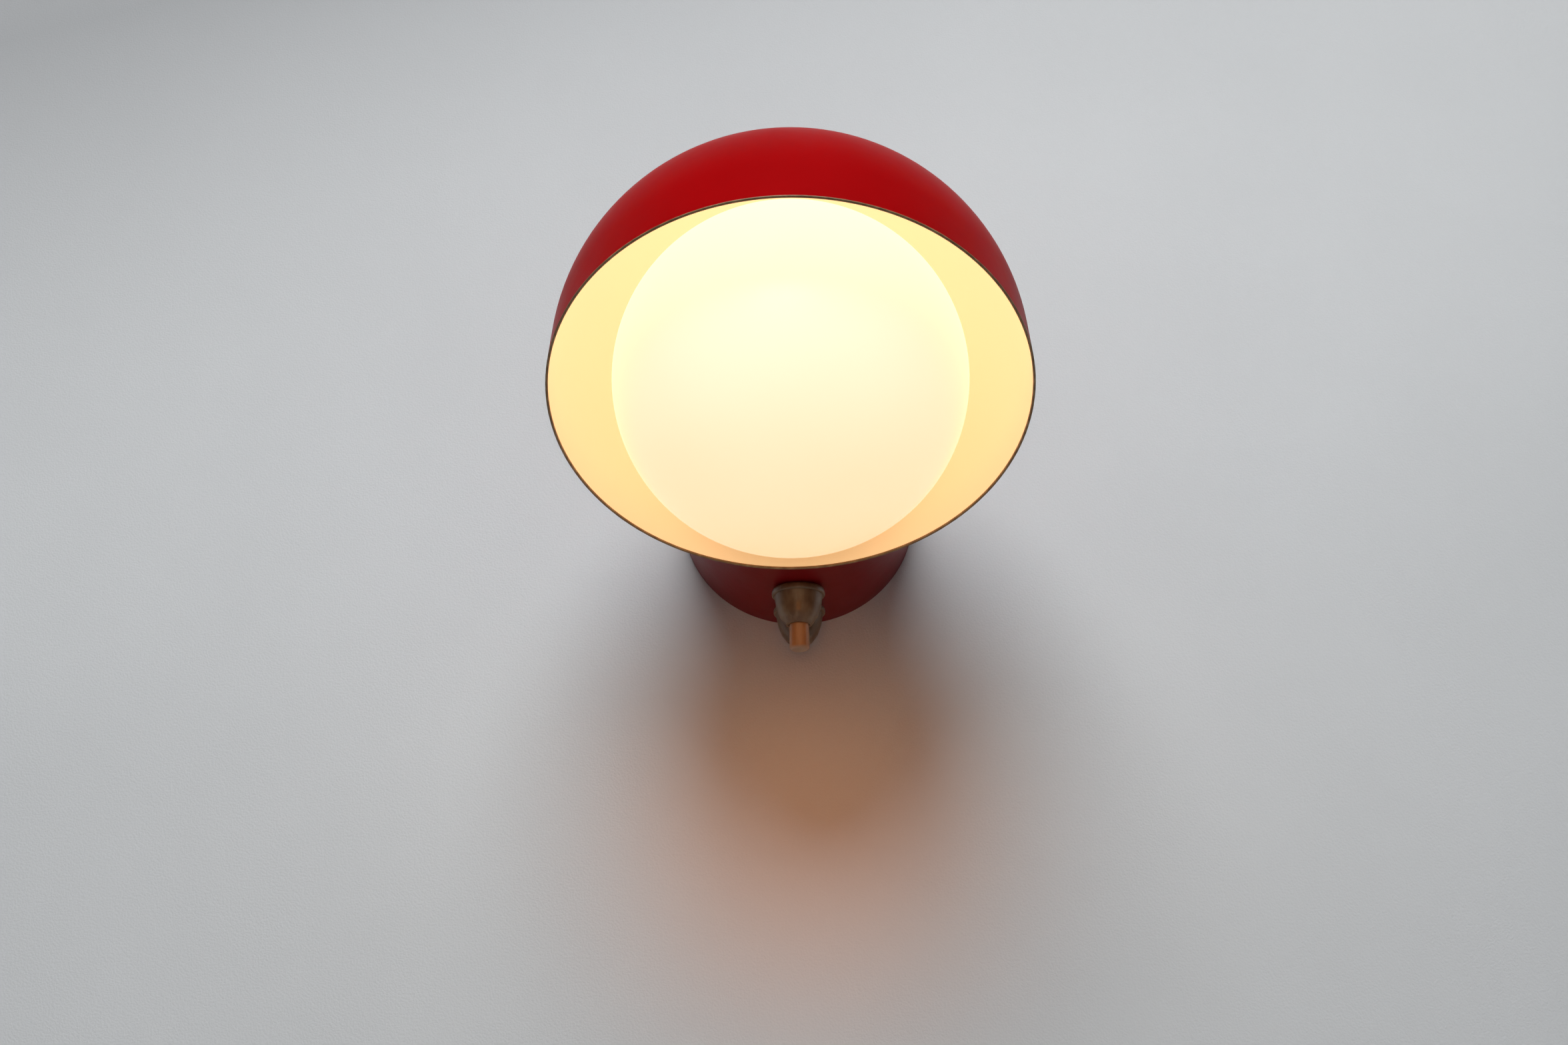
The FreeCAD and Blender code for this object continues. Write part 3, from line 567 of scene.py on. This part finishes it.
def knurl_tree(material):
    """Fine ribs round the heads of a ring of thumb screws; the ring lies across Z."""
    tree = Growth("knurled_heads", Screws=3, Ribs=26, Head_Radius=0.003, Rib=0.0003,
                  Length=0.003, Stand_off=0.045)
    rib = tree.node("GeometryNodeMeshCylinder", {
        "Vertices": 6, "Radius": tree.size("Rib"), "Depth": tree.size("Length")},
        fill_type="NGON")
    around = tree.node("GeometryNodeMeshCircle", {
        "Vertices": tree.size("Ribs"), "Radius": tree.size("Head_Radius")})
    head = tree.node("GeometryNodeInstanceOnPoints", {
        "Points": around.outputs[0], "Instance": rib.outputs[0]})
    ring = tree.node("GeometryNodeMeshCircle", {
        "Vertices": tree.size("Screws"), "Radius": tree.size("Stand_off")})
    turn = tree.node("FunctionNodeAlignRotationToVector", {
        "Vector": tree.node("GeometryNodeInputPosition").outputs[0]}, axis="Z")
    heads = tree.node("GeometryNodeInstanceOnPoints", {
        "Points": ring.outputs[0], "Instance": head.outputs[0], "Rotation": turn.outputs[0]})
    return tree.end(heads.outputs[0], material)


def slotted_tree(material):
    """A row of slotted cheese heads along X that face +Z."""
    tree = Growth("slotted_heads", Count=3, Pitch=0.01, Radius=0.002, Height=0.0012, Slot=0.0006)
    radius, height = tree.size("Radius"), tree.size("Height")
    lift = tree.node("ShaderNodeCombineXYZ", {"Z": tree.maths("MULTIPLY", height, 0.5)})
    head = tree.node("GeometryNodeMeshCylinder", {
        "Vertices": 28, "Radius": radius, "Depth": height}, fill_type="NGON")
    head = tree.node("GeometryNodeTransform", {
        "Geometry": head.outputs[0], "Translation": lift.outputs[0]})
    bar = tree.node("ShaderNodeCombineXYZ", {
        "X": tree.maths("MULTIPLY", radius, 3.0), "Y": tree.size("Slot"), "Z": height})
    above = tree.node("ShaderNodeCombineXYZ", {"Z": height})
    cutter = tree.node("GeometryNodeMeshCube", {"Size": bar.outputs[0]})
    cutter = tree.node("GeometryNodeTransform", {
        "Geometry": cutter.outputs[0], "Translation": above.outputs[0]})
    slotted = tree.node("GeometryNodeMeshBoolean", {
        "Mesh 1": head.outputs[0], "Mesh 2": cutter.outputs[0]}, operation="DIFFERENCE")
    step = tree.node("ShaderNodeCombineXYZ", {"X": tree.size("Pitch")})
    row = tree.node("GeometryNodeMeshLine", {
        "Count": tree.size("Count"), "Offset": step.outputs[0]})
    heads = tree.node("GeometryNodeInstanceOnPoints", {
        "Points": row.outputs[0], "Instance": slotted.outputs[0]})
    return tree.end(heads.outputs[0], material)


def facing(axis, start):
    """A place whose Z runs along an axis from a point."""
    turn = Vector((0, 0, 1)).rotation_difference(Vector(axis)).to_matrix().to_4x4()
    return Matrix.Translation(start) @ turn


def make_fine_thread(name, material, place, radius, length, steps, slot):
    """A fine thread with its ridges sunk a little into the piece's own surface."""
    sunk = 0.12 * MM
    made = helix_tree(name, material, sides=6).grow(
        name, place, smooth=40, Radius=radius - sunk, Wire=FINE_RIDGE,
        Turns=length / FINE_PITCH, Length=length, Steps=steps)
    stand_for(made, "base", slot)


def make_threads():
    """Thread ridges on the nipple, the lamp's cap and the cord bush's neck."""
    low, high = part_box("nipple")
    end_gap = 0.6 * MM
    start = Vector((0, high.y - end_gap, GLOBE_CENTRE.z))
    make_fine_thread("nipple_thread", BRASS, facing(OUT, start), NIPPLE_RADIUS,
                     length=high.y - low.y - 2 * end_gap, steps=20, slot="brass")

    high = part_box("bulb_cap")[1]
    contact_end, sunk = 7.0 * MM, 0.75 * MM
    start = Vector((0, high.y - contact_end, GLOBE_CENTRE.z))
    made = helix_tree("lamp_thread", LAMP_METAL, sides=10).grow(
        "lamp_cap_thread", facing(OUT, start), smooth=60, Radius=high.x - sunk, Wire=LAMP_RIDGE,
        Turns=LAMP_TURNS, Length=LAMP_TURNS * LAMP_PITCH, Steps=48)
    stand_for(made, "base", "bulb_aluminium")

    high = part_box("cord_bush")[1]
    start = Vector((0, -BUSH_OUT, high.z - end_gap))
    make_fine_thread("cord_bush_thread", IVORY, facing(DOWN, start), BUSH_NECK_RADIUS,
                     length=6.0 * MM, steps=24, slot="ivory_plastic")


def make_spring():
    """The push button's coil spring, drawn at rest; the real one squashes when the button is
    pressed.
    """
    low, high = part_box("button_spring")
    height = high.z - low.z
    start = Vector((0, -SWITCH_OUT, high.z - SPRING_WIRE))
    made = helix_tree("coil_spring", SPRING, sides=10).grow(
        "coil_spring", facing(DOWN, start), smooth=60,
        Radius=(high.x - low.x) / 2 - SPRING_WIRE, Wire=SPRING_WIRE, Turns=SPRING_TURNS,
        Length=height - 2 * SPRING_WIRE, Steps=32)
    stand_for(made, "base", "spring_steel", "button_spring")
    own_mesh(made)


def make_knurls():
    """Ribs on the heads of the three screws that hold the globe."""
    low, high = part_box("gallery_screws")
    middle = Vector((0, (low.y + high.y) / 2, GLOBE_CENTRE.z))
    head_end = high.z - GLOBE_CENTRE.z
    head_radius = (high.y - low.y) / 2
    ring = Matrix(((0, 1, 0), (0, 0, 1), (1, 0, 0))).to_4x4()
    made = knurl_tree(NICKEL).grow(
        "knurled_heads", Matrix.Translation(middle) @ ring, smooth=40, Screws=3, Ribs=26,
        Head_Radius=head_radius - 0.1 * MM, Rib=0.26 * MM, Length=KNURLED_HEAD * 0.72,
        Stand_off=head_end - KNURLED_HEAD / 2)
    stand_for(made, "base", "nickel_steel")


def make_terminal_heads():
    """Slotted heads of the three terminal screws."""
    low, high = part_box("terminal_screws")
    radius = (high.z - low.z) / 2
    pitch = (high.x - low.x) / 2 - radius
    start = Vector((low.x + radius, high.y, (low.z + high.z) / 2))
    made = slotted_tree(BRASS).grow(
        "terminal_heads", facing(OUT, start), smooth=40, Count=3, Pitch=pitch, Radius=radius,
        Height=high.y - low.y, Slot=0.6 * MM)
    stand_for(made, "base", "brass", "terminal_screws")


# ------------------------------------------------------------ shade


def slot_cutter():
    """A bent bar with round ends that cuts the shade's slot."""
    half = NIPPLE_RADIUS + SLOT_GAP
    ends = half / SHADE_RADIUS
    low = math.radians(TILT_DOWN) - ends
    high = math.radians(TILT_UP) + ends
    within, beyond = 0.93, 1.07
    steps = 40
    mesh = bmesh.new()
    rows = []
    for step in range(steps + 1):
        blend = (1 - math.cos(math.pi * step / steps)) / 2
        angle = low + (high - low) * blend
        into = min(angle - low, high - angle) * SHADE_RADIUS
        width = half if into > half else math.sqrt(max(1e-8, half ** 2 - (half - into) ** 2))
        way = Vector((0, math.cos(angle), math.sin(angle))) * SHADE_RADIUS
        corners = ((within, -width), (within, width), (beyond, width), (beyond, -width))
        rows.append([mesh.verts.new(DOME_CENTRE + way * reach + Vector((across, 0, 0)))
                     for reach, across in corners])
    for first, second in zip(rows, rows[1:]):
        for here in range(4):
            following = (here + 1) % 4
            mesh.faces.new((first[here], first[following], second[following], second[here]))
    mesh.faces.new(rows[0])
    mesh.faces.new(rows[-1])
    bmesh.ops.recalc_face_normals(mesh, faces=mesh.faces)
    return finished("slot_cutter", mesh, [RED])


def make_shade():
    """Spun dome: red outside, white inside, a bare brown edge at the rim."""
    outer, inner = SHADE_RADIUS, SHADE_RADIUS - SHADE_SHEET
    edge = SHADE_SHEET * 0.3
    paint_end = -SHADE_SKIRT + SHADE_SHEET * 0.45
    white_end = -SHADE_SKIRT + SHADE_SHEET * 0.85
    outline = arc(0, outer, 90, 0, OUTSIDE, steps=56)
    outline += rounded([
        (outer, -SHADE_SKIRT / 2, 0, OUTSIDE), (outer, paint_end, 0, RIM),
        (outer, -SHADE_SKIRT, edge, RIM), (inner, -SHADE_SKIRT, edge, RIM),
        (inner, white_end, 0, INSIDE)], steps=4)
    outline += arc(0, inner, 0, 90, INSIDE, steps=56)
    made = lathe("shade_dome", outline, DOME_CENTRE, DOME_AXIS, [RED, EDGE, WHITE], around=160)
    cutter = slot_cutter()
    boolean = made.modifiers.new("slot", "BOOLEAN")
    boolean.operation = "DIFFERENCE"
    boolean.solver = "EXACT"
    boolean.object = cutter
    settle(made)
    smoothed(made.data, SMOOTH)
    bpy.data.objects.remove(cutter)
    stand_for(made, "shade", "red_paint", "shade")


# ------------------------------------------------------------ globe


def fillet(ball, neck, turn):
    """Outline of the hollow curve from neck to ball, and the angle where the ball starts."""
    centre = -GLOBE_CENTRE.y
    height = centre - math.sqrt((ball + turn) ** 2 - (neck + turn) ** 2)
    angle = math.degrees(math.atan2(height - centre, neck + turn))
    steps = 6
    points = []
    for step in range(steps + 1):
        swing = math.radians(180 + angle * step / steps)
        across = neck + turn + turn * math.cos(swing)
        points.append((Vector((across, height + turn * math.sin(swing))), 0))
    return points, angle


def make_globe():
    """Opal ball that runs into its neck in a soft curve, with a bead at the end."""
    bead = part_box("globe_gasket")[1].x
    neck = bead - NECK_BEAD
    inner_neck = neck - GLOBE_GLASS
    bead_top = NECK_END + 2.5 * MM
    round_off = 0.8 * MM
    blend = 5.0 * MM
    past_fillet = 1.5

    outer_curve, outer_angle = fillet(GLOBE_RADIUS, neck, blend)
    inner_curve, inner_angle = fillet(GLOBE_RADIUS - GLOBE_GLASS, inner_neck, blend + GLOBE_GLASS)
    outline = rounded([(inner_neck, NECK_END, round_off, 0), (bead, NECK_END, round_off, 0),
                       (bead, bead_top, round_off, 0), (neck, bead_top, 0, 0)], steps=3)
    outline += outer_curve
    outline += arc(-GLOBE_CENTRE.y, GLOBE_RADIUS, outer_angle + past_fillet, 90, 0, steps=72)
    outline += arc(-GLOBE_CENTRE.y, GLOBE_RADIUS - GLOBE_GLASS, 90, inner_angle + past_fillet, 0,
                   steps=60)
    outline += reversed(inner_curve)
    made = lathe("opal_globe", outline, (0, 0, GLOBE_CENTRE.z), OUT, [OPAL], around=144,
                 smooth=50.0)
    stand_for(made, "base", "opal_glass", "globe")


# ------------------------------------------------------------ stage and light


def fading(made, near, far):
    """The shader of a stage surface that fades into the backdrop's tone away from the lamp."""
    ray = made.node("ShaderNodeLightPath").outputs["Is Camera Ray"]
    distance = made.node("ShaderNodeVectorMath", operation="LENGTH")
    made.link(made.place, distance.inputs[0])
    far_off = made.spread(distance.outputs["Value"], 0.0, 1.0, near, far, "SMOOTHSTEP")
    fade = made.maths("MULTIPLY", far_off, ray)
    backdrop = made.node("ShaderNodeEmission")
    backdrop.inputs["Color"].default_value = BACKDROP
    return made.mix_shaders(fade, made.shader.outputs[0], backdrop.outputs[0])


def wall_material():
    """Pale painted wall with a fine grain, with painted shade high on the left, and clear from
    behind.
    """
    made = Finish("painted_wall")
    paint = made.ramp(made.noise(6.0, 4.0), shades((0.76, 0.76, 0.76), 0.97, 1.03))
    aside = made.maths("MULTIPLY", made.along("X"), 0.3)
    slant = made.maths("SUBTRACT", made.along("Z"), aside)
    # painted shade: the wall's colour darkens towards the upper left
    dull = made.spread(slant, 0.0, 1.0, start=0.02, end=0.45)
    made.colour(made.mix(made.maths("MULTIPLY", dull, dull), paint, (0.40, 0.40, 0.405)))
    made.set(Roughness=0.75)
    made.bump((made.noise(1100.0, 2.0), 0.18 * MM))
    behind = made.node("ShaderNodeNewGeometry").outputs["Backfacing"]
    clear = made.node("ShaderNodeBsdfTransparent").outputs[0]
    made.surface(made.mix_shaders(behind, fading(made, near=0.42, far=1.05), clear))
    return made.material


def floor_material():
    """Pale plain floor."""
    made = Finish("pale_floor")
    made.colour(made.ramp(made.noise(5.0, 4.0), shades((0.70, 0.70, 0.70), 0.97, 1.03)))
    made.set(Roughness=0.8)
    made.surface(fading(made, near=0.4, far=2.6))
    return made.material


def stage_sheet(name, faces, front, material):
    """A stage surface from faces given by their corners, all turned to face one way."""
    mesh = bmesh.new()
    for corners in faces:
        mesh.faces.new([mesh.verts.new(corner) for corner in corners])
    bmesh.ops.remove_doubles(mesh, verts=mesh.verts, dist=1e-6)
    mesh.normal_update()
    away = [face for face in mesh.faces if face.normal.dot(front) < 0]
    bmesh.ops.reverse_faces(mesh, faces=away)
    finished(name, mesh, [material])


def make_stage():
    """A wall with an opening behind the base, so its back can be seen, and a floor."""
    wide, floor, top = 6.0, -1.6, 4.0
    gap = 0.2 * MM
    opening = BASE_RADIUS * 0.985
    steps = 64
    ring = []
    for step in range(steps):
        angle = math.tau * (step + 0.5) / steps
        across, up = math.cos(angle), math.sin(angle)
        limit = top if up > 0 else -floor
        reach = min(wide / max(abs(across), 1e-6), limit / max(abs(up), 1e-6))
        ring.append(((across * opening, gap, up * opening), (across * reach, gap, up * reach)))
    faces = [(first[0], second[0], second[1], first[1])
             for first, second in zip(ring, ring[1:] + ring[:1])]
    for side, height in ((1, top), (-1, top), (-1, floor), (1, floor)):
        corner = (side * wide, gap, height)
        edge = sorted((outer for _, outer in ring),
                      key=lambda point: (Vector(point) - Vector(corner)).length)
        ends = sorted(edge[:2], key=lambda point: math.atan2(point[2], point[0]))
        faces.append((ends[0], ends[1], corner))
    stage_sheet("wall", faces, OUT, wall_material())
    ground = [(across * wide, deep * wide, floor)
              for across, deep in ((-1, -1), (1, -1), (1, 1), (-1, 1))]
    stage_sheet("floor", [ground], -DOWN, floor_material())


def add_light(name, kind, place, aim, power, colour):
    """A light turned towards a point; gives back its data for the sizes."""
    data = bpy.data.lights.new(name, kind)
    data.energy = power
    data.color = colour
    made = added(name, data)
    made.location = place
    made.rotation_euler = (Vector(aim) - Vector(place)).to_track_quat("-Z", "Y").to_euler()
    return data


def area_light(name, place, aim, size, power):
    """A round panel of daylight."""
    data = add_light(name, "AREA", place, aim, power, DAYLIGHT)
    data.shape = "DISK"
    data.size = size


def spot_light(name, place, aim, cone, power, colour):
    """A soft-edged cone of light; the cone is its full angle in degrees."""
    data = add_light(name, "SPOT", place, aim, power, colour)
    data.spot_size = math.radians(cone)
    data.spot_blend = 1.0
    data.shadow_soft_size = 0.05


def make_lights():
    """Daylight from high in front, the warm pool under the lamp, and a light on its back."""
    area_light("window", place=(-0.08, -1.42, 1.05), aim=(0, 0, -0.05), size=1.1, power=27.5)
    area_light("ceiling", place=(0.3, -1.2, 2.4), aim=(0, 0, 0), size=2.2, power=3.0)
    spot_light("lamp_glow", place=(0, -0.27, -0.180), aim=(0, 0, -0.152), cone=48, power=0.80,
               colour=(1.0, 0.33, 0.07))
    spot_light("back_light", place=(0.35, 0.9, 0.45), aim=(0, 0, 0), cone=6, power=9.0,
               colour=(0.97, 0.98, 1.0))
    world = bpy.data.worlds.new("room")
    bpy.context.scene.world = world
    world.use_nodes = True
    nodes, links = world.node_tree.nodes, world.node_tree.links
    background = nodes["Background"]
    background.inputs["Color"].default_value = (0.86, 0.90, 0.96, 1)
    background.inputs["Strength"].default_value = 0.038
    backdrop = nodes.new("ShaderNodeBackground")
    backdrop.inputs["Color"].default_value = BACKDROP
    chooser = nodes.new("ShaderNodeMixShader")
    links.new(nodes.new("ShaderNodeLightPath").outputs["Is Camera Ray"], chooser.inputs[0])
    links.new(background.outputs[0], chooser.inputs[1])
    links.new(backdrop.outputs[0], chooser.inputs[2])
    links.new(chooser.outputs[0], nodes["World Output"].inputs["Surface"])


def make_camera():
    """Below the lamp and in front of it, looking up at the globe."""
    data = bpy.data.cameras.new("camera")
    data.lens = LENS
    data.sensor_width = 36.0
    data.clip_start = 0.01
    made = added("camera", data)
    swing, rise = Matrix.Rotation(YAW, 3, "Z"), Matrix.Rotation(PITCH, 3, "X")
    right, ahead, up = (swing @ rise @ Matrix.Rotation(ROLL, 3, "Y")).col
    place = DOME_CENTRE - right * CAMERA_LEFT - up * CAMERA_BELOW - ahead * CAMERA_BACK
    view = Matrix((right, up, -ahead)).transposed()
    made.matrix_world = Matrix.Translation(place) @ view.to_4x4()
    bpy.context.scene.camera = made
    bpy.context.scene.view_settings.view_transform = "Standard"


# ------------------------------------------------------------ CAD pieces

CAD_MATERIALS = {
    "base_shell": SHADED_BASE_RED, "wall_plate": ZINC, "base_screws": NICKEL, "swivel_bridge": ZINC,
    "nipple": BRASS, "bridge_nut": BRASS, "friction_nut": BRASS, "gallery_nut": BRASS,
    "outer_pad": PHENOLIC, "inner_pad": WHITE, "spring_washer": SPRING, "gallery": GALLERY,
    "gallery_screws": NICKEL, "globe_gasket": RUBBER, "lampholder_cap": BRASS,
    "lampholder_body": PORCELAIN, "lampholder_shell": BRASS, "centre_contact": BRASS,
    "bulb_cap": LAMP_METAL, "bulb_glass": LAMP, "switch_bell": IVORY, "cord_bush": IVORY,
    "cord_bush_nut": BRASS, "switch_body": PHENOLIC, "push_button": BUTTON,
    "switch_tabs": BRASS, "terminal_block": BLOCK, "earth_screw": NICKEL,
    "live_wire": BROWN, "switched_wire": BROWN, "neutral_wire": BLUE, "earth_wire": EARTH,
    # replaced by drawn pieces
    "shade": RED, "globe": OPAL, "button_spring": SPRING, "terminal_screws": BRASS}


def finish_cad_pieces():
    """Put the materials on the CAD pieces."""
    for name, material in CAD_MATERIALS.items():
        data = NODES[name].data
        data.materials.clear()
        data.materials.append(material)


make_camera()
finish_cad_pieces()
make_shade()
make_globe()
make_threads()
make_spring()
make_knurls()
make_terminal_heads()
make_stage()
make_lights()
